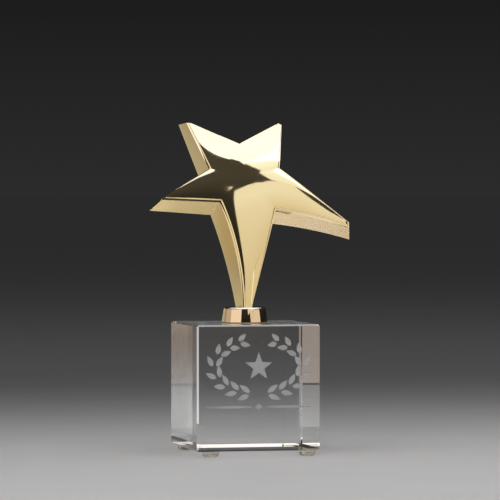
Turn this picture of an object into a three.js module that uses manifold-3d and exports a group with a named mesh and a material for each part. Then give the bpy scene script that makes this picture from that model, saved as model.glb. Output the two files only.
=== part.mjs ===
// Crystal award: a gold star stands on one of its arms, on a gold collar, on a clear crystal cube with feet.
// Millimetres. +Z is up, the star's face looks along -Y and leans back, and X runs across the award.
// The origin is the middle of the award's outline on the surface that its feet rest on.
import * as THREE from 'three';
import { mergeVertices } from 'three/addons/utils/BufferGeometryUtils.js';
import Module from 'manifold-3d';

const wasm = await Module();
wasm.setup();

// ---- Driving dimensions -------------------------------------------------------------------------------
const cubeSize = 60;
const cubeBevel = 0.8;

const footDiameter = 8;
const footContactDiameter = 4.6;
const footHeight = 2.6;
const padDiameter = 7.4;
const padThickness = 0.2;

const glueDiameter = 21.6;
const glueThickness = 0.2;

const collarBaseDiameter = 22.4;
const collarTopDiameter = 20.4;
const collarHeight = 7.4;
const collarEdgeRadius = 1.3;
const collarBore = 3.6;
const collarRecessDiameter = 7.6;
const collarRecessDepth = 4.6;
const collarFacets = 5;

const screwCrest = 2.9;
const screwRoot = 2.4;
const screwPitch = 0.5;
const screwHeadDiameter = 5.5;
const screwHeadHeight = 3;
const screwSocketAcrossFlats = 2.5;
const screwSocketDepth = 1.5;
const screwReach = 7;
const screwChamfer = 0.3;

const washerOuter = 5.6;
const washerInner = 3.3;
const washerThickness = 0.8;
const washerSplitDegrees = 14;

const tappedHoleDiameter = 3.1;
const tappedHoleDepth = 8.5;

const starLean = THREE.MathUtils.degToRad(15);
const starThickness = 13.5;
const starForward = 2.2;
const starStepDepth = 1;
const starStepShare = 0.4;

// The face is a shallow rounded cone: highest round faceTop, level there but for a small tilt, and falling
// away on all sides. faceReach is how far it takes, across and up, to bend over.
const faceTop = [3, 60];
const faceReach = [30, 25];
const faceFall = 5;
const faceTilt = 0.05;

// The star's corners, in order round it: [across, up] in the star's own plane, from the leg's end.
// face is where the domed face stops, and back is where the side walls meet the flat back.
const notches = [
  { name: 'right', face: [18.9, 67.6], back: [21.6, 68.5] },
  { name: 'top', face: [1.2, 79.7], back: [0.6, 82.2] },
  { name: 'left', face: [-13.9, 67.4], back: [-18.2, 67.5] },
  { name: 'lower_left', face: [-10.1, 52.1], back: [-13.2, 47.5] },
  { name: 'lower_right', face: [15.7, 48.3], back: [17.6, 43.0] },
];

// Each arm ends in a narrow blunt end with two corners. Its first side, the underside of the right arm and
// the left side of the leg, may curve inwards: bow is how far, at the face and at the back.
const straight = { face: 0, back: 0 };
const arms = [
  {
    name: 'top_right',
    face: [[22.7, 90.3], [21.2, 91.1]],
    back: [[24.0, 91.8], [22.2, 92.8]],
    bow: straight,
  },
  {
    name: 'top_left',
    face: [[-21.9, 91.6], [-22.9, 91.5]],
    back: [[-25.2, 93.2], [-26.5, 92.9]],
    bow: straight,
  },
  {
    name: 'left',
    face: [[-36.9, 54.6], [-36.9, 54.0]],
    back: [[-43.1, 50.5], [-43.2, 49.7]],
    bow: straight,
  },
  {
    name: 'leg',
    face: [[-0.6, 0], [2.8, 0]],
    back: [[-3.2, 0], [2.9, 0]],
    bow: { face: 2.6, back: 1.2 },
  },
  {
    name: 'right',
    face: [[52.6, 40.5], [52.3, 41.9]],
    back: [[55.5, 35.0], [56.4, 40.6]],
    bow: { face: 0.9, back: 0.9 },
  },
];
const starCentre = [2.9, 64.5];

const alongArm = 10;
const acrossArm = 8;
const roundSegments = 48;
const smallRoundSegments = 24;

// Where each foot's middle is, in from the two nearest sides of the cube. They are stuck on by hand.
const feet = [
  { name: 'front_left', side: -1, end: -1, inset: [7.5, 4.8] },
  { name: 'front_right', side: 1, end: -1, inset: [5.2, 4.8] },
  { name: 'back_left', side: -1, end: 1, inset: [6.4, 5.6] },
  { name: 'back_right', side: 1, end: 1, inset: [6.0, 5.2] },
];

// ---- Heights, from the surface that the award stands on -----------------------------------------------
const cubeBottom = footHeight + padThickness;
const cubeTop = cubeBottom + cubeSize;
const collarBottom = cubeTop + glueThickness;
const collarTop = collarBottom + collarHeight;
const recessTop = collarBottom + collarRecessDepth;

// ---- Helpers ------------------------------------------------------------------------------------------
function toSolid(geometry) {
  const bare = geometry.clone();
  bare.deleteAttribute('normal');
  bare.deleteAttribute('uv');
  const merged = mergeVertices(bare, 1e-4);
  const vertProperties = new Float32Array(merged.attributes.position.array);
  const triVerts = new Uint32Array(merged.index.array);
  return new wasm.Manifold(new wasm.Mesh({ numProp: 3, vertProperties, triVerts }));
}

function toGeometry(solid) {
  const { vertProperties, triVerts, numProp } = solid.getMesh();
  const geometry = new THREE.BufferGeometry();
  const positions = new Float32Array((vertProperties.length / numProp) * 3);
  for (let i = 0; i < positions.length / 3; i += 1) {
    positions.set(vertProperties.subarray(i * numProp, i * numProp + 3), i * 3);
  }
  geometry.setAttribute('position', new THREE.BufferAttribute(positions, 3));
  geometry.setIndex(new THREE.BufferAttribute(new Uint32Array(triVerts), 1));
  geometry.computeVertexNormals();
  return geometry;
}

// A turned piece round the Z axis, from [radius, height] points listed with the material on their left.
function turned(points, segments) {
  const profile = points.map(([radius, height]) => new THREE.Vector2(radius, height));
  return new THREE.LatheGeometry(profile, segments).rotateX(Math.PI / 2);
}

function arcPoints([centreRadius, centreHeight], radius, fromDegrees, toDegrees, steps) {
  const points = [];
  for (let i = 0; i <= steps; i += 1) {
    const angle = THREE.MathUtils.degToRad(fromDegrees + ((toDegrees - fromDegrees) * i) / steps);
    points.push([centreRadius + radius * Math.cos(angle), centreHeight + radius * Math.sin(angle)]);
  }
  return points;
}

// ---- Star ---------------------------------------------------------------------------------------------
// Points along one side of an arm, from its notch to its end, bowed inwards at the middle.
function sidePoints(notch, corner, bow, bowTowards) {
  const start = new THREE.Vector2(...notch);
  const end = new THREE.Vector2(...corner);
  const inward = new THREE.Vector2().subVectors(end, start).normalize();
  inward.set(-inward.y * bowTowards, inward.x * bowTowards);
  const middle = new THREE.Vector2().lerpVectors(start, end, 0.5);
  const control = middle.addScaledVector(inward, 2 * bow);
  return new THREE.QuadraticBezierCurve(start, control, end).getPoints(alongArm);
}

function mix(a, b, share) {
  return [a[0] + (b[0] - a[0]) * share, a[1] + (b[1] - a[1]) * share];
}

// The outline at one share of the way from the face (0) to the back (1), as one grid of points for each arm.
// A row runs across the arm, the first row through the star's centre and the last one along the blunt end.
function starGrids(share) {
  return arms.map((arm, index) => {
    const before = notches[index];
    const after = notches[(index + 1) % notches.length];
    const start = mix(before.face, before.back, share);
    const finish = mix(after.face, after.back, share);
    const corners = [0, 1].map((side) => mix(arm.face[side], arm.back[side], share));
    const bow = arm.bow.face + (arm.bow.back - arm.bow.face) * share;
    const first = sidePoints(start, corners[0], bow, 1);
    const second = sidePoints(finish, corners[1], 0, -1);
    const rows = [];
    for (let row = 0; row <= alongArm; row += 1) {
      const t = row / alongArm;
      const points = [];
      for (let column = 0; column <= acrossArm; column += 1) {
        const s = column / acrossArm;
        const side = s < 0.5 ? mix(start, starCentre, 2 * s) : mix(starCentre, finish, 2 * s - 1);
        const chord = mix(start, finish, s);
        const across = mix([first[row].x, first[row].y], [second[row].x, second[row].y], s);
        const bend = (1 - t) ** 2;
        points.push([across[0] + (side[0] - chord[0]) * bend, across[1] + (side[1] - chord[1]) * bend]);
      }
      rows.push(points);
    }
    return rows;
  });
}

// How far the face stands in front of the star's middle plane.
function faceLevel([across, up]) {
  const stepAcross = (across - faceTop[0]) / faceReach[0];
  const stepUp = (up - faceTop[1]) / faceReach[1];
  const cone = faceFall * (Math.sqrt(1 + stepAcross ** 2 + stepUp ** 2) - 1);
  return starThickness / 2 - cone - faceTilt * (up - faceTop[1]);
}

// From the star's own plane (across, up, towards the viewer) to the award, leaning back from the leg's end.
// The leg's end is cut level, so points at the foot of the star slide along the lean to height 0.
function lean([across, up, out], isLegEnd) {
  const level = isLegEnd ? -out * Math.tan(starLean) : up;
  const y = level * Math.sin(starLean) - out * Math.cos(starLean) - starForward;
  const z = isLegEnd ? 0 : level * Math.cos(starLean) + out * Math.sin(starLean);
  return new THREE.Vector3(across, y, z);
}

function starGeometry() {
  const grids = [0, starStepShare, 1].map(starGrids);
  const legIndex = arms.findIndex((arm) => arm.name === 'leg');
  const corners = [];
  const quad = (a, b, c, d) => corners.push(a, b, c, a, c, d);

  // Layer 0 is the face, layer 1 the foot of the narrow step round it, and layer 2 the flat back.
  const layerCorner = (layer, arm, row, column) => {
    const front = faceLevel(grids[0][arm][row][column]);
    const out = [front, front - starStepDepth, -starThickness / 2][layer];
    return lean([...grids[layer][arm][row][column], out], arm === legIndex && row === alongArm);
  };

  for (let arm = 0; arm < arms.length; arm += 1) {
    for (let row = 0; row < alongArm; row += 1) {
      for (let column = 0; column < acrossArm; column += 1) {
        const cell = [[row, column], [row, column + 1], [row + 1, column + 1], [row + 1, column]];
        quad(...cell.map(([r, c]) => layerCorner(0, arm, r, c)).reverse());
        quad(...cell.map(([r, c]) => layerCorner(2, arm, r, c)));
      }
      for (let layer = 0; layer < 2; layer += 1) {
        for (const column of [0, acrossArm]) {
          const strip = [
            layerCorner(layer, arm, row, column),
            layerCorner(layer, arm, row + 1, column),
            layerCorner(layer + 1, arm, row + 1, column),
            layerCorner(layer + 1, arm, row, column),
          ];
          quad(...(column === 0 ? strip.reverse() : strip));
        }
      }
    }
    for (let column = 0; column < acrossArm; column += 1) {
      for (let layer = 0; layer < 2; layer += 1) {
        quad(
          layerCorner(layer + 1, arm, alongArm, column),
          layerCorner(layer + 1, arm, alongArm, column + 1),
          layerCorner(layer, arm, alongArm, column + 1),
          layerCorner(layer, arm, alongArm, column),
        );
      }
    }
  }
  return new THREE.BufferGeometry().setFromPoints(corners);
}

function starCasting() {
  const overshoot = 1;
  const hole = new THREE.CylinderGeometry(
    tappedHoleDiameter / 2,
    tappedHoleDiameter / 2,
    tappedHoleDepth + overshoot,
    smallRoundSegments,
  );
  hole.rotateX(Math.PI / 2).translate(0, 0, (tappedHoleDepth - overshoot) / 2);
  return toGeometry(toSolid(starGeometry()).subtract(toSolid(hole)));
}

// ---- Collar, screw and washer -------------------------------------------------------------------------
function collar() {
  const topRadius = collarTopDiameter / 2;
  const baseRadius = collarBaseDiameter / 2;
  const roundCentre = [topRadius - collarEdgeRadius, collarHeight - collarEdgeRadius];
  const draftDegrees = THREE.MathUtils.radToDeg(Math.atan((baseRadius - topRadius) / collarHeight));
  const inner = [
    [collarBore / 2, collarHeight],
    [collarBore / 2, collarRecessDepth],
    [collarRecessDiameter / 2, collarRecessDepth],
    [collarRecessDiameter / 2, 0],
  ];
  const edge = arcPoints(roundCentre, collarEdgeRadius, draftDegrees, 90, collarFacets);
  const outer = [[baseRadius, 0], ...edge];
  return turned([...inner, ...outer, inner[0]], roundSegments);
}

function starScrew() {
  const shankBottom = screwHeadHeight;
  const headRadius = screwHeadDiameter / 2;
  const head = [[headRadius - screwChamfer, 0], [headRadius, screwChamfer], [headRadius, shankBottom]];
  const profile = [[0, 0], ...head];
  const shankTop = screwHeadHeight + washerThickness + (collarHeight - collarRecessDepth) + screwReach;
  for (let height = shankBottom; height + screwPitch < shankTop; height += screwPitch) {
    profile.push([screwRoot / 2, height], [screwCrest / 2, height + screwPitch / 2]);
  }
  const tip = screwRoot / 2 - screwChamfer;
  profile.push([screwRoot / 2, shankTop - screwChamfer], [tip, shankTop], [0, shankTop]);
  const overshoot = 1;
  const socketRadius = screwSocketAcrossFlats / Math.sqrt(3);
  const socket = new THREE.CylinderGeometry(socketRadius, socketRadius, screwSocketDepth + overshoot, 6);
  socket.rotateX(Math.PI / 2).translate(0, 0, (screwSocketDepth - overshoot) / 2);
  return toGeometry(toSolid(turned(profile, smallRoundSegments)).subtract(toSolid(socket)));
}

// The split spring washer under the screw's head.
function screwWasher() {
  const halfSplit = THREE.MathUtils.degToRad(washerSplitDegrees / 2);
  const shape = new THREE.Shape();
  shape.absarc(0, 0, washerOuter / 2, halfSplit, 2 * Math.PI - halfSplit, false);
  shape.absarc(0, 0, washerInner / 2, 2 * Math.PI - halfSplit, halfSplit, true);
  shape.closePath();
  const settings = { depth: washerThickness, bevelEnabled: false, curveSegments: 20 };
  return new THREE.ExtrudeGeometry(shape, settings);
}

// ---- Crystal, feet and films --------------------------------------------------------------------------
function crystalCube() {
  const half = cubeSize / 2;
  const cut = half - cubeBevel;
  const shape = new THREE.Shape();
  shape.moveTo(half, cut);
  shape.lineTo(cut, half);
  shape.lineTo(-cut, half);
  shape.lineTo(-half, cut);
  shape.lineTo(-half, -cut);
  shape.lineTo(-cut, -half);
  shape.lineTo(cut, -half);
  shape.lineTo(half, -cut);
  shape.closePath();
  const settings = {
    depth: cubeSize - 2 * cubeBevel,
    bevelThickness: cubeBevel,
    bevelSize: cubeBevel,
    bevelOffset: -cubeBevel,
    bevelSegments: 1,
  };
  return new THREE.ExtrudeGeometry(shape, settings).translate(0, 0, cubeBevel);
}

// A bumper foot: a flat underside, a rounded flank and a flat top that the adhesive holds.
function foot() {
  const contactRadius = footContactDiameter / 2;
  const flankRadius = footDiameter / 2 - contactRadius;
  const rimHeight = footHeight - flankRadius;
  const flank = arcPoints([contactRadius, flankRadius], flankRadius, -90, 0, 6);
  const top = [[footDiameter / 2, flankRadius + rimHeight], [0, footHeight]];
  return turned([[0, 0], ...flank, ...top], smallRoundSegments);
}

function disc(diameter, thickness, segments) {
  const radius = diameter / 2;
  return turned([[0, 0], [radius, 0], [radius, thickness], [0, thickness]], segments);
}

// ---- Materials ----------------------------------------------------------------------------------------
const gold = new THREE.MeshStandardMaterial({ color: 0xe6cf9a, roughness: 0.08, metalness: 1 });
const steel = new THREE.MeshStandardMaterial({ color: 0xb8b8ba, roughness: 0.35, metalness: 1 });
const crystal = new THREE.MeshStandardMaterial({ color: 0xf2f5f5, roughness: 0.02, metalness: 0 });
const bumper = new THREE.MeshStandardMaterial({ color: 0xe9e4cf, roughness: 0.25, metalness: 0 });
const film = new THREE.MeshStandardMaterial({ color: 0xf4f1e6, roughness: 0.4, metalness: 0 });

// ---- Assembly -----------------------------------------------------------------------------------------
const award = new THREE.Group();
const base = new THREE.Group();
award.add(base);

function place(name, geometry, material, x, y, z) {
  const mesh = new THREE.Mesh(geometry, material);
  mesh.name = name;
  mesh.position.set(x, y, z);
  base.add(mesh);
  return mesh;
}

place('crystal_cube', crystalCube(), crystal, 0, 0, cubeBottom);
place('glue_disc', disc(glueDiameter, glueThickness, roundSegments), film, 0, 0, cubeTop);
place('collar', collar(), gold, 0, 0, collarBottom);
place('star_casting', starCasting(), gold, 0, 0, collarTop);
place('screw_washer', screwWasher(), steel, 0, 0, recessTop - washerThickness);
place('star_screw', starScrew(), steel, 0, 0, recessTop - washerThickness - screwHeadHeight);

for (const { name, side, end, inset } of feet) {
  const x = side * (cubeSize / 2 - inset[0]);
  const y = end * (cubeSize / 2 - inset[1]);
  place(`foot_${name}`, foot(), bumper, x, y, 0);
  place(`pad_${name}`, disc(padDiameter, padThickness, smallRoundSegments), film, x, y, footHeight);
}

// The star reaches further to the right than to the left, so the cube stands left of the origin.
const reach = arms.flatMap((arm) => arm.back.map(([across]) => across));
base.position.x = -(Math.min(...reach) + Math.max(...reach)) / 2;

export default award;
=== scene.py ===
"""Crystal award: a mirror-polished gold star on a gold collar and a clear crystal cube, in a studio."""
import math

import bmesh
import bpy
import numpy as np
from mathutils import Matrix, Vector


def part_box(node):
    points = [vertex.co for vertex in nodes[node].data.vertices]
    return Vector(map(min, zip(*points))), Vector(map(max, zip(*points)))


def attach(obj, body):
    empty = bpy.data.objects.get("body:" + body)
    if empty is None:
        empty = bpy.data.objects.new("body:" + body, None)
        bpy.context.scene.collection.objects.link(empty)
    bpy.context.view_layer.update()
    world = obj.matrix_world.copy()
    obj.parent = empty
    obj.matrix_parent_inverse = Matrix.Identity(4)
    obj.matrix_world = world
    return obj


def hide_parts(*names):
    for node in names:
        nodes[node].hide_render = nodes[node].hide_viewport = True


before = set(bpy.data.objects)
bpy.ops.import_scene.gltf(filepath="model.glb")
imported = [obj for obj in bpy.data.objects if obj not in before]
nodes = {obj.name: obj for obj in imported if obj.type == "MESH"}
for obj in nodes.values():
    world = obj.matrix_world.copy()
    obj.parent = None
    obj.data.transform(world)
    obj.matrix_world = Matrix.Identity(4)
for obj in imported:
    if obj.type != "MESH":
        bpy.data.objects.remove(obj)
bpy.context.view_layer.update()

MM = 0.001


# ---- Places and sizes from the frame ---------------------------------------------------------------------
cube_low, cube_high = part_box("crystal_cube")
collar_low, collar_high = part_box("collar")
axis_x = (cube_low.x + cube_high.x) / 2
axis_y = (cube_low.y + cube_high.y) / 2


# ---- Camera ----------------------------------------------------------------------------------------------
CAMERA_AZIMUTH = math.radians(-13.13)
CAMERA_PITCH = math.radians(0.92)
CAMERA_DISTANCE = 1.8
CAMERA_LENS = 268.8
AIM_RIGHT = 2.6 * MM
AIM_HEIGHT = 97.8 * MM


def add_camera():
    """A long lens in front of the award, a little to its left and just above the horizon."""
    camera = bpy.data.objects.new("camera", bpy.data.cameras.new("camera"))
    bpy.context.scene.collection.objects.link(camera)
    across = Vector((math.cos(CAMERA_AZIMUTH), math.sin(CAMERA_AZIMUTH), 0))
    aim = Vector((axis_x, axis_y, AIM_HEIGHT)) + across * AIM_RIGHT
    back = Vector((
        math.sin(CAMERA_AZIMUTH) * math.cos(CAMERA_PITCH),
        -math.cos(CAMERA_AZIMUTH) * math.cos(CAMERA_PITCH),
        math.sin(CAMERA_PITCH),
    ))
    camera.location = aim + back * CAMERA_DISTANCE
    camera.rotation_euler = (-back).to_track_quat("-Z", "Y").to_euler()
    camera.data.lens = CAMERA_LENS
    camera.data.clip_start = 0.05
    camera.data.clip_end = 60
    bpy.context.scene.camera = camera


# ---- Material helpers ------------------------------------------------------------------------------------
def fill_ramp(node, stops):
    """Gives a colour ramp its stops, each a position and a colour."""
    elements = node.color_ramp.elements
    while len(elements) < len(stops):
        elements.new(0.5)
    for element, (position, colour) in zip(elements, stops):
        element.position = position
        element.color = (*colour, 1)


class Shader:
    """A material with a Principled shader, and short calls that add and join nodes."""

    def __init__(self, name, **sockets):
        self.material = bpy.data.materials.new(name)
        self.material.use_nodes = True
        self.tree = self.material.node_tree
        self.principled = self.tree.nodes["Principled BSDF"]
        for socket, value in sockets.items():
            self.principled.inputs[socket.replace("_", " ")].default_value = value
        self.place = self.tree.nodes.new("ShaderNodeTexCoord").outputs["Object"]

    def node(self, kind, inputs=None, **settings):
        made = self.tree.nodes.new(kind)
        for key, value in settings.items():
            setattr(made, key, value)
        for key, value in (inputs or {}).items():
            if isinstance(value, bpy.types.NodeSocket):
                self.tree.links.new(value, made.inputs[key])
            else:
                made.inputs[key].default_value = value
        return made

    def noise(self, scale, detail=3.0, roughness=0.55, vector=None):
        inputs = {"Vector": vector or self.place, "Scale": scale, "Detail": detail, "Roughness": roughness}
        return self.node("ShaderNodeTexNoise", inputs).outputs["Fac"]

    def stretched(self, scale, turn=0.0):
        inputs = {"Vector": self.place, "Scale": scale, "Rotation": (0, 0, turn)}
        return self.node("ShaderNodeMapping", inputs).outputs["Vector"]

    def ramp(self, factor, stops):
        made = self.node("ShaderNodeValToRGB", {"Fac": factor})
        fill_ramp(made, stops)
        return made.outputs["Color"]

    def spread(self, factor, low, high, between=(0.3, 0.7)):
        """Maps the stretch of a factor between two values to low and high."""
        inputs = {"Value": factor, "To Min": low, "To Max": high}
        inputs["From Min"], inputs["From Max"] = between
        return self.node("ShaderNodeMapRange", inputs).outputs["Result"]

    def bump(self, height, strength, distance, normal=None):
        inputs = {"Height": height, "Strength": strength, "Distance": distance}
        if normal is not None:
            inputs["Normal"] = normal
        return self.node("ShaderNodeBump", inputs).outputs["Normal"]

    def join(self, output, socket):
        self.tree.links.new(output, self.principled.inputs[socket])
        return self


def gold_material(name, tint_low, tint_high):
    """Mirror-polished plating: a faint ripple from the casting, fine buffing lines and a few hazy spots."""
    shader = Shader(name, Metallic=1.0)
    tint = shader.ramp(shader.noise(scale=38, detail=2), [(0.35, tint_low), (0.65, tint_high)])
    shader.join(tint, "Base Color")
    haze = shader.noise(scale=90, detail=5, roughness=0.6)
    shader.join(shader.spread(haze, low=0.03, high=0.07, between=(0.4, 0.75)), "Roughness")
    waves = shader.noise(scale=55, detail=1, roughness=0.4)
    ripple = shader.bump(waves, strength=0.05, distance=0.4 * MM)
    along_lines = shader.stretched((1.0, 1.0, 0.06), turn=0.5)
    lines = shader.noise(scale=900, detail=3, roughness=0.7, vector=along_lines)
    shader.join(shader.bump(lines, strength=0.02, distance=0.02 * MM, normal=ripple), "Normal")
    return shader.material


def crystal_material():
    """Clear optical crystal with polish so fine that only faint smears change its gloss."""
    shader = Shader("crystal_clear", Base_Color=(0.985, 0.995, 0.99, 1), IOR=1.52, Transmission_Weight=1.0)
    along_smears = shader.stretched((1.0, 1.0, 0.35), turn=0.3)
    smear = shader.noise(scale=24, detail=4, roughness=0.6, vector=along_smears)
    shader.join(shader.spread(smear, low=0.0, high=0.012, between=(0.55, 0.8)), "Roughness")
    return shader.material


def frost_material():
    """Sandblasted crystal: a fine, bright, scattering surface."""
    shader = Shader("crystal_frosted", Base_Color=(0.96, 0.97, 0.97, 1), IOR=1.52, Transmission_Weight=0.55)
    grain = shader.noise(scale=4200, detail=2, roughness=0.7)
    shader.join(shader.spread(grain, low=0.62, high=0.8), "Roughness")
    shader.join(shader.bump(grain, strength=0.5, distance=0.03 * MM), "Normal")
    return shader.material


def bumper_material():
    """Clear soft polyurethane, a little yellow, with a satin skin and tiny bubbles."""
    shader = Shader("bumper_clear", IOR=1.49, Transmission_Weight=0.92)
    yellowed, clear = (0.93, 0.9, 0.76), (0.97, 0.95, 0.86)
    tint = shader.ramp(shader.noise(scale=240, detail=2), [(0.3, yellowed), (0.7, clear)])
    shader.join(tint, "Base Color")
    shader.join(shader.spread(shader.noise(scale=700, detail=3), low=0.12, high=0.26), "Roughness")
    bubbles = shader.noise(scale=1600, detail=2)
    shader.join(shader.bump(bubbles, strength=0.12, distance=0.05 * MM), "Normal")
    return shader.material


def adhesive_material(name, low, high, metallic=0.0):
    """A cured film seen through the crystal, with fine bubbles and a slightly uneven spread."""
    shader = Shader(name, Metallic=metallic)
    cells = shader.node("ShaderNodeTexVoronoi", {"Vector": shader.place, "Scale": 1500}).outputs["Distance"]
    tint = shader.ramp(shader.noise(scale=420, detail=4), [(0.35, low), (0.7, high)])
    shader.join(tint, "Base Color")
    shader.join(shader.spread(cells, low=0.45, high=0.22, between=(0.1, 0.5)), "Roughness")
    shader.join(shader.bump(cells, strength=0.15, distance=0.05 * MM), "Normal")
    return shader.material


def steel_material():
    """Zinc-plated steel with turning lines and a dull patchy gloss."""
    shader = Shader("steel_zinc", Metallic=1.0)
    patches = shader.noise(scale=500, detail=4)
    dull, bright = (0.52, 0.53, 0.55), (0.7, 0.71, 0.73)
    shader.join(shader.ramp(patches, [(0.3, dull), (0.7, bright)]), "Base Color")
    shader.join(shader.spread(patches, low=0.42, high=0.25), "Roughness")
    round_axis = shader.stretched((0.05, 0.05, 1.0))
    turning = shader.noise(scale=2600, detail=2, roughness=0.5, vector=round_axis)
    shader.join(shader.bump(turning, strength=0.2, distance=0.02 * MM), "Normal")
    return shader.material


def floor_material():
    """Plain pale matt board."""
    shader = Shader("floor_board", Roughness=0.8, Specular_IOR_Level=0.1)
    darker, paler = (0.66, 0.65, 0.65), (0.7, 0.69, 0.69)
    shader.join(shader.ramp(shader.noise(scale=9, detail=5), [(0.3, darker), (0.7, paler)]), "Base Color")
    return shader.material


# ---- Mesh helpers ----------------------------------------------------------------------------------------
def add_mesh(name, vertices, faces, materials, smooth=True):
    """An object from lists of vertices and faces, put into the scene."""
    mesh = bpy.data.meshes.new(name)
    mesh.from_pydata([tuple(v) for v in vertices], [], faces)
    mesh.validate()
    for material in materials:
        mesh.materials.append(material)
    if smooth:
        mesh.shade_smooth()
    made = bpy.data.objects.new(name, mesh)
    bpy.context.scene.collection.objects.link(made)
    return made


def sharpen(piece, degrees):
    """Keeps the edges that turn by more than an angle crisp on a smooth-shaded piece."""
    piece.data.set_sharp_from_angle(angle=math.radians(degrees))


def finish_piece(piece, node):
    """Hides the CAD node that a piece stands for, and rides the piece on the award's one body."""
    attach(piece, "root")
    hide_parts(node)
    return piece


def arc(centre, radius, start, stop, steps):
    """Points [radius, height] on an arc from one angle to another, in degrees."""
    angles = np.radians(np.linspace(start, stop, steps + 1))
    return [(centre[0] + radius * math.cos(a), centre[1] + radius * math.sin(a)) for a in angles]


def turned(name, profile, centre, materials, segments=128, closed=False):
    """A turned piece: the profile's [radius, height] points in metres swept round an upright axis.
    A point on the axis makes one vertex, and a closed profile also joins its last point to its first."""
    vertices, faces, rings = [], [], []
    for radius, height in profile:
        if radius == 0:
            rings.append([len(vertices)])
            vertices.append((centre[0], centre[1], centre[2] + height))
            continue
        rings.append(list(range(len(vertices), len(vertices) + segments)))
        for i in range(segments):
            angle = 2 * math.pi * i / segments
            x = centre[0] + radius * math.cos(angle)
            y = centre[1] + radius * math.sin(angle)
            vertices.append((x, y, centre[2] + height))
    pairs = list(zip(rings, rings[1:]))
    if closed:
        pairs.append((rings[-1], rings[0]))
    for low, high in pairs:
        for i in range(segments):
            j = (i + 1) % segments
            ring = [low[i % len(low)], low[j % len(low)], high[j % len(high)], high[i % len(high)]]
            faces.append(tuple(dict.fromkeys(ring)))
    return add_mesh(name, vertices, faces, materials)


# ---- Star ------------------------------------------------------------------------------------------------
STAR_LEAN = math.radians(15)
# In millimetres. Points are [across, up] in the star's own plane, from the middle of the leg's end.
STAR_FORWARD = 2.2
STAR_HALF = 13.5 / 2
STAR_CENTRE = (2.9, 64.5)
# The face is a shallow rounded cone, level round its top but for a small tilt, and lower on all sides.
FACE_TOP = (3, 60)
FACE_REACH = (30, 25)
FACE_FALL = 5
FACE_TILT = 0.05
# On top of the cone the polished edge rolls off: how high the face stands above it, and how far it takes.
EDGE_ROLL = 0.35
EDGE_REACH = 3.5
# The corners between the arms, in order round the star: where the face stops, and where the back does.
NOTCHES = [
    {"face": (18.9, 67.6), "back": (21.6, 68.5)},
    {"face": (1.2, 79.7), "back": (0.6, 82.2)},
    {"face": (-13.9, 67.4), "back": (-18.2, 67.5)},
    {"face": (-10.1, 52.1), "back": (-13.2, 47.5)},
    {"face": (15.7, 48.3), "back": (17.6, 43.0)},
]
# Each arm's blunt end at the face and at the back, and how far its first side curves inwards at each.
ARMS = [
    {"face": [(22.7, 90.3), (21.2, 91.1)], "back": [(24.0, 91.8), (22.2, 92.8)], "bow": (0, 0)},
    {"face": [(-21.9, 91.6), (-22.9, 91.5)], "back": [(-25.2, 93.2), (-26.5, 92.9)], "bow": (0, 0)},
    {"face": [(-36.9, 54.6), (-36.9, 54.0)], "back": [(-43.1, 50.5), (-43.2, 49.7)], "bow": (0, 0)},
    {"face": [(-0.6, 0), (2.8, 0)], "back": [(-3.2, 0), (2.9, 0)], "bow": (2.6, 1.2)},
    {"face": [(52.6, 40.5), (52.3, 41.9)], "back": [(55.5, 35.0), (56.4, 40.6)], "bow": (0.9, 0.9)},
]
LEG = 3
ALONG_ARM = 56
ACROSS_ARM = 28
# Loops from the face's edge to the back: [share of the way out, share of the way back, step down].
# The raised face drops over a soft bevel to a narrow ledge, and the drafted wall starts at the ledge's rim.
STAR_PROFILE = [
    (0.012, 0, 0.01),
    (0.035, 0, 0.06),
    (0.13, 0, 0.4),
    (0.15, 0, 0.45),
    (0.17, 0, 0.47),
    (0.345, 0, 0.5),
    (0.365, 0, 0.58),
    (0.38, 0, 0.8),
    (0.96, 1, -0.9),
    (0.985, 1, -0.5),
    (0.995, 1, -0.2),
    (0.975, 1, -0.05),
    (0.93, 1, 0),
]
# For the edge roll's solver, and for cleaning up the star's mesh.
SMALLEST_WEIGHT = 0.02
SOLVER_STEPS = 1500
SOLVER_ERROR = 1e-9
MERGE_WITHIN = 0.002 * MM
SLIVER = 0.0005 * MM


def side_points(notch, corner, bow, turn):
    """Points along one side of an arm, from its notch to its end, bowed inwards at the middle."""
    start, end = np.array(notch, float), np.array(corner, float)
    along = (end - start) / np.linalg.norm(end - start)
    control = (start + end) / 2 + np.array((-along[1], along[0])) * turn * 2 * bow
    t = np.linspace(0, 1, ALONG_ARM + 1)[:, None]
    return (1 - t) ** 2 * start + 2 * t * (1 - t) * control + t**2 * end


def star_grids(share):
    """The outline at a share of the way from face (0) to back (1): each arm's rows of points across it."""
    grids = []
    for index, arm in enumerate(ARMS):
        before, after = NOTCHES[index], NOTCHES[(index + 1) % len(NOTCHES)]
        start, finish = (
            np.array(notch["face"], float) * (1 - share) + np.array(notch["back"], float) * share
            for notch in (before, after)
        )
        ends = np.array(arm["face"], float) * (1 - share) + np.array(arm["back"], float) * share
        bow = arm["bow"][0] * (1 - share) + arm["bow"][1] * share
        first = side_points(start, ends[0], bow, 1)
        second = side_points(finish, ends[1], 0, -1)
        s = np.linspace(0, 1, ACROSS_ARM + 1)[None, :, None]
        t = np.linspace(0, 1, ALONG_ARM + 1)[:, None, None]
        centre = np.array(STAR_CENTRE)
        to_centre = start * (1 - 2 * s) + centre * 2 * s
        from_centre = centre * (2 - 2 * s) + finish * (2 * s - 1)
        bent = np.where(s < 0.5, to_centre, from_centre) - (start * (1 - s) + finish * s)
        grids.append(first[:, None] * (1 - s) + second[:, None] * s + bent * (1 - t) ** 2)
    return grids


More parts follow.
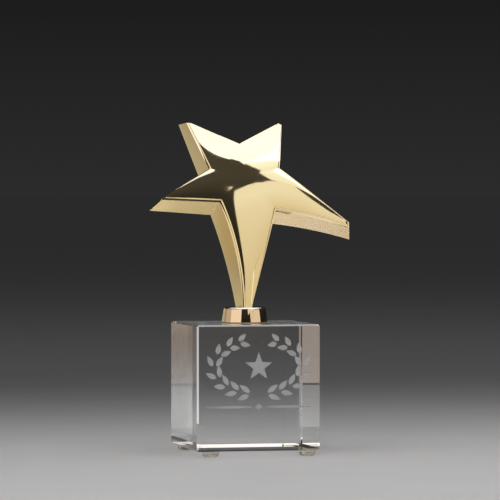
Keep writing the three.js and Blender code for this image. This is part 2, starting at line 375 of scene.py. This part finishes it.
def edge_roll(points, triangles, held):
    """Heights of a membrane held at the outline and pushed up evenly; it levels off away from the edges.
    Each edge weighs as the cotangents of the angles opposite it, and conjugate gradients solve for rest."""
    count = len(points)
    rows, columns, weights = [], [], []
    areas = np.zeros(count)
    for k in range(3):
        apex, i, j = (triangles[:, (k + n) % 3] for n in range(3))
        to_i, to_j = points[i] - points[apex], points[j] - points[apex]
        double_area = np.abs(to_i[:, 0] * to_j[:, 1] - to_i[:, 1] * to_j[:, 0])
        weight = np.maximum((to_i * to_j).sum(1) / (2 * double_area), SMALLEST_WEIGHT)
        rows += [i, j]
        columns += [j, i]
        weights += [weight, weight]
        areas += np.bincount(apex, double_area / 6, count)
    rows, columns, weights = (np.concatenate(part) for part in (rows, columns, weights))
    diagonal = np.bincount(rows, weights, count) + areas / EDGE_REACH**2
    free = ~held

    def apply(values):
        return (diagonal * values - np.bincount(rows, weights * values[columns], count)) * free

    heights = np.zeros(count)
    rest = areas * free
    search = rest / diagonal
    energy = rest @ search
    for _ in range(SOLVER_STEPS):
        pushed = apply(search)
        step = energy / (search @ pushed)
        heights += step * search
        rest -= step * pushed
        if np.abs(rest).max() < SOLVER_ERROR:
            break
        scaled = rest / diagonal
        updated = rest @ scaled
        search = scaled + updated / energy * search
        energy = updated
    return heights / heights.max() * EDGE_ROLL


def face_level(points):
    """How far the face stands in front of the star's middle plane."""
    steps = points - np.array(FACE_TOP)
    cone = FACE_FALL * (np.sqrt(1 + ((steps / np.array(FACE_REACH)) ** 2).sum(-1)) - 1)
    return STAR_HALF - cone - FACE_TILT * steps[..., 1]


def lean(points, outs, level_end):
    """From the star's own plane to the award. Points marked level_end go level with the collar's top."""
    ups = np.where(level_end, -outs * math.tan(STAR_LEAN), points[..., 1])
    y = ups * math.sin(STAR_LEAN) - outs * math.cos(STAR_LEAN) - STAR_FORWARD
    z = np.where(level_end, 0.0, ups * math.cos(STAR_LEAN) + outs * math.sin(STAR_LEAN))
    placed = np.stack([points[..., 0], y, z], -1) * MM
    return placed + np.array((axis_x, axis_y, collar_high.z))


def weld_grids(grids):
    """Numbers the points of all the arms' grids, so that points in one place share one number."""
    points, numbers = [], {}

    def number(point):
        key = tuple(np.round(point, 4))
        if key not in numbers:
            numbers[key] = len(points)
            points.append(point)
        return numbers[key]

    ids = [np.array([[number(point) for point in row] for row in grid]) for grid in grids]
    return np.array(points), ids


def face_rolls(grids):
    """The edge roll at each point of the face, for each arm's grid."""
    points, ids = weld_grids(grids)
    quads = np.concatenate([
        np.stack([g[:-1, :-1], g[:-1, 1:], g[1:, 1:], g[1:, :-1]], -1).reshape(-1, 4) for g in ids
    ])
    triangles = np.concatenate([quads[:, [0, 1, 2]], quads[:, [0, 2, 3]]])
    held = np.zeros(len(points), bool)
    for grid in ids:
        held[grid[:, 0]] = held[grid[:, -1]] = held[grid[-1]] = True
    heights = edge_roll(points, triangles, held)
    return [heights[grid] for grid in ids]


def add_arm(bm, face, back, rings):
    """One arm's faces: its front and its back, and its sides and end, ring by ring from front to back."""
    layers = [face, *rings]

    def add(points):
        bm.faces.new([bm.verts.new(point) for point in points])

    for r in range(ALONG_ARM):
        for c in range(ACROSS_ARM):
            add([face[r + 1, c], face[r + 1, c + 1], face[r, c + 1], face[r, c]])
            add([back[r, c], back[r, c + 1], back[r + 1, c + 1], back[r + 1, c]])
        for upper, lower in zip(layers, layers[1:]):
            add([lower[r, 0], lower[r + 1, 0], upper[r + 1, 0], upper[r, 0]])
            add([upper[r, -1], upper[r + 1, -1], lower[r + 1, -1], lower[r, -1]])
    for c in range(ACROSS_ARM):
        for upper, lower in zip(layers, layers[1:]):
            add([lower[-1, c], lower[-1, c + 1], upper[-1, c + 1], upper[-1, c]])


def add_star(material):
    """The cast star: a domed face, a narrow step round it, drafted side walls and a flat back."""
    face_grids = star_grids(0)
    back_grids = star_grids(STAR_PROFILE[-1][0])
    outlines = [star_grids(share) for share, _, _ in STAR_PROFILE]
    rolls = face_rolls(face_grids)
    bm = bmesh.new()
    for arm, face_grid in enumerate(face_grids):
        level_end = np.zeros((ALONG_ARM + 1, ACROSS_ARM + 1), bool)
        level_end[-1] = arm == LEG
        front = face_level(face_grid)
        face = lean(face_grid, front + rolls[arm], level_end)
        back = lean(back_grids[arm], np.full(front.shape, -STAR_HALF), level_end)
        rings = [
            lean(outline[arm], front * (1 - depth) - STAR_HALF * depth - step, level_end)
            for outline, (_, depth, step) in zip(outlines, STAR_PROFILE)
        ]
        add_arm(bm, face, back, rings)

    bmesh.ops.remove_doubles(bm, verts=bm.verts, dist=MERGE_WITHIN)
    bmesh.ops.dissolve_degenerate(bm, dist=SLIVER, edges=bm.edges)
    bmesh.ops.recalc_face_normals(bm, faces=bm.faces)
    mesh = bpy.data.meshes.new("gold_star")
    bm.to_mesh(mesh)
    bm.free()
    mesh.materials.append(material)
    mesh.shade_smooth()
    star = bpy.data.objects.new("gold_star", mesh)
    bpy.context.scene.collection.objects.link(star)
    sharpen(star, 38)
    return finish_piece(star, "star_casting")


# ---- Collar ----------------------------------------------------------------------------------------------
COLLAR_NARROWING = 1.0 * MM
COLLAR_EDGE = 1.3 * MM
# The softened bottom edge: how far in from the rim, and how high, in millimetres.
COLLAR_FOOT = [(0.25, 0.0), (0.05, 0.12), (0.04, 0.3)]
RECESS_RADIUS = 4.5 * MM
RECESS_DEPTH = 4.4 * MM
BORE_RADIUS = 2.25 * MM


def add_collar(material):
    """A turned boss: slightly tapered, with a rounded top edge, and a bore and a recess for the screw."""
    base_radius = (collar_high.x - collar_low.x) / 2
    height = collar_high.z - collar_low.z
    top_radius = base_radius - COLLAR_NARROWING
    taper = math.degrees(math.atan((base_radius - top_radius) / height))
    profile = [
        (RECESS_RADIUS, 0.0),
        *((base_radius - inset * MM, up * MM) for inset, up in COLLAR_FOOT),
        *arc((top_radius - COLLAR_EDGE, height - COLLAR_EDGE), COLLAR_EDGE, taper, 90, 12),
        (BORE_RADIUS, height),
        (BORE_RADIUS, RECESS_DEPTH),
        (RECESS_RADIUS, RECESS_DEPTH),
    ]
    centre = (axis_x, axis_y, collar_low.z)
    collar = turned("gold_collar", profile, centre, [material], closed=True)
    sharpen(collar, 40)
    return finish_piece(collar, "collar")


# ---- Crystal ---------------------------------------------------------------------------------------------
CRYSTAL_BEVEL = 0.8 * MM
FROST_DEPTH = 0.25 * MM
CUTTER_PROUD = 0.3 * MM
# The artwork, in millimetres from the middle of the block's front and down from its top: an oval laurel
# wreath round a five-pointed star, over a swelled rule with a diamond at its middle.
WREATH_DOWN = 20
WREATH_HALF = (21.5, 13)
WREATH_FROM, WREATH_TO = -78, 64
WREATH_LEAVES = 8
WREATH_STEPS = 200
# The leaves stand in two rows, just inside and just outside the oval, and get shorter towards the top.
ROW_OFFSET = 0.045
LEAF_LENGTH, LEAF_WIDTH = 6.4, 2.6
LEAF_SHRINK = 0.03
LEAF_TURN = 0.5
LEAF_STEPS = 8
LEAF_FULLNESS = 0.8
SMALL_STAR_RADII = (7.0, 2.9)
RULE_DOWN = 39
RULE_FROM, RULE_TO = 3, 26
RULE_SWELL = 0.62
RULE_LEAST = 0.001
RULE_STEPS = 16
DIAMOND_HALF = (1.9, 1.5)


def leaf_outline(place, turn, length):
    """A leaf that starts at a place and points along a turn, in radians."""
    t = np.linspace(0, 1, LEAF_STEPS + 1)
    half = LEAF_WIDTH / 2 * np.sin(np.pi * t**LEAF_FULLNESS)
    along = np.concatenate([t, t[-2:0:-1]]) * length
    aside = np.concatenate([-half, half[-2:0:-1]])
    x = along * math.cos(turn) - aside * math.sin(turn)
    z = along * math.sin(turn) + aside * math.cos(turn)
    return np.stack([x, z], -1) + np.array(place)


def wreath_outlines():
    """Leaves at even steps along each half of the oval, from its bottom up."""
    outlines = []
    wide, high = WREATH_HALF
    sweep = np.radians(np.linspace(WREATH_FROM, WREATH_TO, WREATH_STEPS))
    steps = np.hypot(wide * np.diff(np.cos(sweep)), high * np.diff(np.sin(sweep)))
    walked = np.concatenate([[0], np.cumsum(steps)])
    angles = np.interp(np.linspace(0, walked[-1], WREATH_LEAVES), walked, sweep)
    for side in (-1, 1):
        for k, angle in enumerate(angles):
            along = math.atan2(high * math.cos(angle), -wide * math.sin(angle))
            length = LEAF_LENGTH * (1 - LEAF_SHRINK * k)
            for row in (-1, 1):
                reach = 1 + row * ROW_OFFSET
                x = wide * reach * math.cos(angle)
                z = high * reach * math.sin(angle) - WREATH_DOWN
                outline = leaf_outline((x, z), along - row * LEAF_TURN, length)
                outlines.append(outline * np.array((side, 1)))
    return outlines


def small_star_outline():
    """The five-pointed star at the middle of the wreath."""
    points = []
    for k in range(10):
        angle, radius = math.radians(90 + 36 * k), SMALL_STAR_RADII[k % 2]
        points.append((radius * math.cos(angle), radius * math.sin(angle) - WREATH_DOWN))
    return np.array(points)


def rule_outlines():
    """The two halves of the rule, and the diamond between them."""
    outlines = []
    t = np.linspace(0, 1, RULE_STEPS + 1)
    across = RULE_FROM + t * (RULE_TO - RULE_FROM)
    half = RULE_SWELL * np.sqrt(np.sin(np.pi * t)) + RULE_LEAST
    for side in (-1, 1):
        upper = np.stack([across * side, half - RULE_DOWN], -1)
        lower = np.stack([across * side, -half - RULE_DOWN], -1)[-2:0:-1]
        outlines.append(np.concatenate([upper, lower]))
    wide, high = DIAMOND_HALF
    diamond = [(wide, 0), (0, high), (-wide, 0), (0, -high)]
    outlines.append(np.array([(x, z - RULE_DOWN) for x, z in diamond]))
    return outlines


def artwork_cutter(material):
    """Prisms that reach from just in front of the block to the frosted bottom of each recess."""
    vertices, faces = [], []
    front, bottom = cube_low.y - CUTTER_PROUD, cube_low.y + FROST_DEPTH
    for outline in [*wreath_outlines(), small_star_outline(), *rule_outlines()]:
        start, count = len(vertices), len(outline)
        for depth in (front, bottom):
            vertices += [(axis_x + x * MM, depth, cube_high.z + z * MM) for x, z in outline]
        faces.append(tuple(range(start, start + count)))
        faces.append(tuple(range(start + 2 * count - 1, start + count - 1, -1)))
        for i in range(count):
            j = (i + 1) % count
            faces.append((start + j, start + i, start + count + i, start + count + j))
    cutter = add_mesh("artwork_cutter", vertices, faces, [material], smooth=False)
    bm = bmesh.new()
    bm.from_mesh(cutter.data)
    bmesh.ops.recalc_face_normals(bm, faces=bm.faces)
    bm.to_mesh(cutter.data)
    bm.free()
    return cutter


def add_crystal(polished, frosted):
    """The bevelled block, with the frosted artwork cut into its front face."""
    bm = bmesh.new()
    bmesh.ops.create_cube(bm, size=1)
    for vertex in bm.verts:
        for k in range(3):
            vertex.co[k] = cube_high[k] if vertex.co[k] > 0 else cube_low[k]
    bmesh.ops.bevel(bm, geom=list(bm.edges), offset=CRYSTAL_BEVEL, segments=1, profile=0.5, affect="EDGES")
    mesh = bpy.data.meshes.new("crystal_block")
    bm.to_mesh(mesh)
    bm.free()
    mesh.materials.append(polished)
    mesh.materials.append(frosted)
    block = bpy.data.objects.new("crystal_block", mesh)
    bpy.context.scene.collection.objects.link(block)
    cutter = artwork_cutter(frosted)
    cut = block.modifiers.new("artwork", "BOOLEAN")
    cut.object = cutter
    cut.operation = "DIFFERENCE"
    cut.solver = "EXACT"
    cut.use_self = True
    cut.material_mode = "TRANSFER"
    carved = bpy.data.meshes.new_from_object(block.evaluated_get(bpy.context.evaluated_depsgraph_get()))
    block.modifiers.clear()
    block.data = carved
    bpy.data.meshes.remove(mesh)
    bpy.data.objects.remove(cutter)
    carved.name = "crystal_block"
    return finish_piece(block, "crystal_cube")


# ---- Feet and films --------------------------------------------------------------------------------------
FOOT_CORNERS = ("front_left", "front_right", "back_left", "back_right")
# The flank's curve starts at the contact radius, and the flat underside stops a little short of it.
FOOT_CONTACT_RADIUS = 2.3 * MM
FOOT_FLAT_SHARE = 0.9
FOOT_SHOULDER = 0.15 * MM
FOOT_BELOW_FILM = 0.02 * MM
FILM_RIM = 0.985
FILM_PRESSED_IN = 0.03 * MM


def add_foot(corner, material):
    """A clear bumper: flat underside, rounded flank and a small shoulder under the adhesive."""
    low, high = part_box(f"foot_{corner}")
    radius, height = (high.x - low.x) / 2, high.z - low.z
    flank = radius - FOOT_CONTACT_RADIUS
    profile = [
        (0.0, 0.0),
        (FOOT_CONTACT_RADIUS * FOOT_FLAT_SHARE, 0.0),
        *arc((FOOT_CONTACT_RADIUS, flank), flank, -90, 0, 14),
        (radius, height - FOOT_SHOULDER),
        (radius - FOOT_SHOULDER, height - FOOT_BELOW_FILM),
        (0.0, height - FOOT_BELOW_FILM),
    ]
    centre = ((low.x + high.x) / 2, (low.y + high.y) / 2, low.z)
    foot = turned(f"bumper_{corner}", profile, centre, [material], segments=64)
    sharpen(foot, 40)
    return finish_piece(foot, f"foot_{corner}")


def add_film(name, node, material, below=0.0, above=0.0):
    """A thin disc of adhesive with a ridged rim, pressed a hair into what lies below or above it."""
    low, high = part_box(node)
    radius = (high.x - low.x) / 2
    bottom, top = -below, high.z - low.z + above
    rim = radius * FILM_RIM
    profile = [(0.0, bottom), (rim, bottom), (radius, (bottom + top) / 2), (rim, top), (0.0, top)]
    centre = ((low.x + high.x) / 2, (low.y + high.y) / 2, low.z)
    film = turned(name, profile, centre, [material], segments=64)
    sharpen(film, 60)
    return finish_piece(film, node)


# ---- Studio ----------------------------------------------------------------------------------------------
# In metres, so far that its edge is the horizon.
FLOOR_HALF = 400
WARM = (1, 0.92, 0.85)
# A plane that faces the star from the front right: azimuth, elevation and distance. Three cards lie in it.
RIGHT_PLANE = (22, 22, 0.85)


def add_floor(material):
    """The plain board that the award stands on."""
    half = FLOOR_HALF
    corners = [(-half, -half, 0), (half, -half, 0), (half, half, 0), (-half, half, 0)]
    floor = add_mesh("floor", corners, [(0, 1, 2, 3)], [material], smooth=False)
    return floor


def heading(azimuth, elevation, distance, centre):
    """A place seen from a centre: azimuth 0 is straight in front, positive to the right."""
    a, e = math.radians(azimuth), math.radians(elevation)
    way = Vector((math.sin(a) * math.cos(e), -math.cos(a) * math.cos(e), math.sin(e)))
    return centre + way * distance


def add_softbox(
    name, place, aim, size, only, radiance=1.0, colour=(1, 1, 1), roll=0, spread=180, shaded_by=None
):
    """A flat light of a size in metres that glows with a given radiance; the camera doesn't see it.
    It lights the objects of the collection only= and no others, and shaded_by= limits what shades it."""
    light = bpy.data.lights.new(name, "AREA")
    light.shape = "RECTANGLE"
    light.size, light.size_y = size
    light.energy = radiance * math.pi * size[0] * size[1]
    light.color = colour
    light.spread = math.radians(spread)
    lamp = bpy.data.objects.new(name, light)
    bpy.context.scene.collection.objects.link(lamp)
    turn = (Vector(aim) - Vector(place)).to_track_quat("-Z", "Y").to_matrix().to_4x4()
    lamp.matrix_world = Matrix.Translation(place) @ turn @ Matrix.Rotation(math.radians(roll), 4, "Z")
    lamp.visible_camera = False
    lamp.light_linking.receiver_collection = only
    lamp.light_linking.blocker_collection = shaded_by
    return light


def grade(light, stops, cut=None, axis="Y"):
    """A graded scrim: its colour changes from the lower edge to the upper, or along the card with axis="X".
    cut=(across, up, start) shades one corner off."""
    light.use_nodes = True
    tree = light.node_tree
    place = tree.nodes.new("ShaderNodeNewGeometry").outputs["Parametric"]
    split = tree.nodes.new("ShaderNodeSeparateXYZ")
    tree.links.new(place, split.inputs[0])
    ramp = tree.nodes.new("ShaderNodeValToRGB")
    fill_ramp(ramp, stops)
    tree.links.new(split.outputs[axis], ramp.inputs["Fac"])
    emission = tree.nodes["Emission"]
    tree.links.new(ramp.outputs["Color"], emission.inputs["Color"])
    if cut:
        across, up, start = cut
        slope = tree.nodes.new("ShaderNodeVectorMath")
        slope.operation = "DOT_PRODUCT"
        slope.inputs[1].default_value = (across, up, 0)
        tree.links.new(place, slope.inputs[0])
        shade = tree.nodes.new("ShaderNodeMath")
        shade.use_clamp = True
        shade.inputs[1].default_value = start
        tree.links.new(slope.outputs["Value"], shade.inputs[0])
        tree.links.new(shade.outputs[0], emission.inputs["Strength"])


def add_world():
    """A dark room: its back wall fades up from the horizon, and its ceiling gives a faint even light."""
    world = bpy.data.worlds.new("studio")
    world.use_nodes = True
    bpy.context.scene.world = world
    tree = world.node_tree
    place = tree.nodes.new("ShaderNodeTexCoord").outputs["Generated"]
    split = tree.nodes.new("ShaderNodeSeparateXYZ")
    tree.links.new(place, split.inputs[0])
    ramp = tree.nodes.new("ShaderNodeValToRGB")
    greys = [
        (0.0, 0.0245),
        (0.05, 0.0118),
        (0.25, 0.025),
        (0.45, 0.032),
        (0.62, 0.06),
        (0.72, 0.06),
        (0.8, 0.02),
    ]
    fill_ramp(ramp, [(height, (grey, grey, grey * 1.05)) for height, grey in greys])
    tree.links.new(split.outputs["Z"], ramp.inputs["Fac"])
    tree.links.new(ramp.outputs["Color"], tree.nodes["Background"].inputs["Color"])


def add_card(name, azimuth, elevation, distance, centre, **looks):
    """A card that stands at a heading from a centre and faces it."""
    return add_softbox(name, heading(azimuth, elevation, distance, centre), centre, **looks)


def add_plane_card(name, centre, right, up, **looks):
    """A card in the right plane, to the right of the plane's middle and above it, as the centre sees it."""
    azimuth, elevation, distance = RIGHT_PLANE
    middle = heading(azimuth, elevation, distance, centre)
    way = (middle - centre).normalized()
    across = Vector((math.cos(math.radians(azimuth)), math.sin(math.radians(azimuth)), 0))
    place = middle + across * right + way.cross(across) * up
    return add_softbox(name, place, place - way, **looks)


def add_floor_boxes(floor_only, gilded):
    """Two wide boxes overhead that light the floor, in front of the award and far behind it."""
    down = Vector((0, 0, -1))
    place = Vector((axis_x, -0.3, 0.78))
    looks = {"only": floor_only, "shaded_by": gilded}
    add_softbox("floor_box", place, place + down, size=(1.4, 0.9), radiance=0.66, spread=84, **looks)
    place = Vector((axis_x + 0.3, 0.3, 1.8))
    add_softbox("far_box", place, place + down, size=(2.0, 1.2), radiance=0.42, **looks)


def add_front_cards(gilded, star_only):
    """The cards over and in front of the award that its gold reflects."""
    heart = Vector((axis_x, axis_y, 0.13))
    place = Vector((axis_x + 0.1, -0.012, 0.78))
    below = place + Vector((0, 0, -1))
    blue = (0.6, 0.68, 1)
    add_softbox("overhead", place, below, size=(1.4, 1.2), only=gilded, radiance=2.0, colour=blue, roll=1)

    panel = add_plane_card("right_card", heart, -0.0314, 0.0138, size=(0.517, 0.348), roll=10, only=gilded)
    dusk, noon, bright = (0.69, 0.66, 0.6), (0.8, 0.79, 0.8), (0.87, 0.9, 0.98)
    grade(panel, [(0, dusk), (0.43, noon), (0.76, bright)], cut=(40, -13.47, 3.75))
    panel = add_plane_card(
        "upper_right_card", heart, 0.14, 0.2925, size=(0.44, 0.155), radiance=1.5, only=gilded
    )
    lower, upper = (0.63, 0.68, 0.82), (0.78, 0.86, 1.1)
    grade(panel, [(0.2, lower), (0.9, upper)], cut=(40, 12.3, -13.36))
    looks = {"radiance": 0.72, "colour": WARM, "roll": 10, "only": gilded}
    add_card("low_card", 26.5, 4.3, 0.83, heart, size=(0.27, 0.227), **looks)
    looks = {"radiance": 0.7, "colour": (1, 0.95, 0.87), "roll": 10, "only": star_only}
    add_plane_card("leg_card", heart, -0.1799, -0.2424, size=(0.2215, 0.105), **looks)


def add_side_cards(gilded):
    """The cards beside, behind and under the award that its gold reflects."""
    heart = Vector((axis_x, axis_y, 0.13))
    low = Vector((axis_x, axis_y, 0.08))
    looks = {"radiance": 0.75, "colour": WARM, "only": gilded}
    add_card("low_right_card", 55, 6, 0.8, heart, size=(0.55, 0.28), **looks)
    looks = {"radiance": 0.9, "colour": (1, 0.92, 0.88), "only": gilded}
    add_card("left_card", -60, 10, 0.8, low, size=(0.9, 0.5), **looks)
    looks = {"radiance": 0.5, "colour": (1, 0.9, 0.84), "only": gilded}
    add_card("far_left_card", -108, 10, 0.8, low, size=(0.5, 0.5), **looks)

    panel = add_card("back_card", -150, -9, 0.32, heart, size=(0.3, 0.16), only=gilded)
    near, middle, far = (0.43, 0.42, 0.35), (0.34, 0.32, 0.29), (0.3, 0.23, 0.13)
    grade(panel, [(0.7, near), (0.8, middle), (0.88, far)], axis="X")

    place = Vector((axis_x, axis_y, 0.004))
    above = place + Vector((0, 0, 1))
    panel = add_softbox("under_card", place, above, size=(0.5, 0.6), only=gilded)
    stops = [
        (0.4, (0.29, 0.28, 0.36)),
        (0.43, (0.4, 0.38, 0.49)),
        (0.48, (0.17, 0.15, 0.08)),
        (0.53, (0.24, 0.22, 0.18)),
        (0.545, (0.35, 0.33, 0.31)),
    ]
    grade(panel, stops, axis="X")


def add_crystal_cards(clear):
    """Cards seen only in the crystal block and its feet: overhead, in front, and behind on either side."""
    up = Vector((0, 0, 1))
    base = Vector((axis_x, axis_y, 0))
    pale = (1, 0.96, 0.96)
    place = Vector((axis_x, 0.2, 0.8))
    looks = {"size": (1.6, 1.2), "radiance": 1.1, "colour": pale, "only": clear}
    add_softbox("crystal_overhead", place, place - up, **looks)
    place = Vector((0.07, -0.26, 0.003))
    looks = {"size": (0.35, 0.42), "radiance": 0.105, "colour": pale, "only": clear}
    add_softbox("front_board", place, place + up, **looks)
    looks = {"size": (0.3, 0.2), "colour": (1, 0.84, 0.7), "only": clear}
    panel = add_card("front_wall", 12.5, 0, 0.6, base + up * 0.1, **looks)
    stops = [
        (0.03, (0, 0, 0)),
        (0.11, (0.1, 0.09, 0.08)),
        (0.165, (0.16, 0.14, 0.12)),
        (0.2, (0.28, 0.24, 0.2)),
    ]
    grade(panel, stops)
    looks = {"size": (0.22, 0.3), "radiance": 0.25, "colour": (1, 0.8, 0.66), "only": clear}
    add_card("back_left_wall", -166, 0, 0.64, base + up * 0.151, **looks)
    place = heading(-166, 0, 0.365, base + up * 0.003)
    looks = {"size": (0.1, 0.42), "radiance": 0.14, "colour": (1, 0.96, 0.94), "roll": -14, "only": clear}
    add_softbox("back_left_board", place, place + up, **looks)
    looks = {"size": (0.06, 0.08), "radiance": 0.52, "only": clear}
    add_card("back_right_wall", 141, 0, 0.22, base + up * 0.041, **looks)
    looks = {"size": (0.5, 0.4), "radiance": 1.7, "colour": (1, 0.98, 0.96), "only": clear}
    add_card("frost_card", 0, 50, 0.8, base, **looks)
    looks = {"size": (0.6, 0.1), "radiance": 0.09, "colour": (0.97, 0.98, 1), "only": clear}
    add_card("horizon_card", 167, 0, 1.0, base + up * 0.12, **looks)


def add_foot_cards(feet):
    """Small warm lights low in front, for the highlights in the clear feet."""
    low = Vector((axis_x, axis_y, 0.002))
    looks = {"size": (0.16, 0.08), "radiance": 5, "colour": (1, 0.95, 0.82), "only": feet}
    for azimuth in (-45, 5):
        add_card(f"foot_card_{azimuth}", azimuth, 8, 0.3, low, **looks)


# ---- The award -------------------------------------------------------------------------------------------
# Each collection holds the objects that one group of lights reaches. A studio does this with flags.
add_camera()
floor_only = bpy.data.collections.new("floor_only")
floor_only.objects.link(add_floor(floor_material()))
gilded = bpy.data.collections.new("gilded")
star_only = bpy.data.collections.new("star_only")
add_world()
add_floor_boxes(floor_only, gilded)
add_front_cards(gilded, star_only)
add_side_cards(gilded)
bpy.context.scene.view_settings.view_transform = "Standard"

gold = gold_material("gold_polished", (0.93, 0.745, 0.38), (0.96, 0.775, 0.42))
collar_gold = gold_material("gold_turned", (0.93, 0.72, 0.44), (0.96, 0.75, 0.49))
star = add_star(gold)
star_only.objects.link(star)
gilded.objects.link(star)
gilded.objects.link(add_collar(collar_gold))
clear = bpy.data.collections.new("clear")
add_crystal_cards(clear)
clear.objects.link(add_crystal(crystal_material(), frost_material()))
bond = adhesive_material("bond_gold", (0.8, 0.62, 0.36), (0.9, 0.74, 0.46), metallic=0.8)
clear.objects.link(add_film("bond_film", "glue_disc", bond, below=FILM_PRESSED_IN))

feet = bpy.data.collections.new("feet")
add_foot_cards(feet)
bumper = bumper_material()
pad_material = adhesive_material("pad_film", (0.72, 0.7, 0.62), (0.86, 0.84, 0.76))
for corner in FOOT_CORNERS:
    foot = add_foot(corner, bumper)
    clear.objects.link(foot)
    feet.objects.link(foot)
    film = add_film(f"foot_film_{corner}", f"pad_{corner}", pad_material, above=FILM_PRESSED_IN)
    clear.objects.link(film)

steel = steel_material()
for name in ("star_screw", "screw_washer"):
    nodes[name].data.materials.clear()
    nodes[name].data.materials.append(steel)
    clear.objects.link(nodes[name])
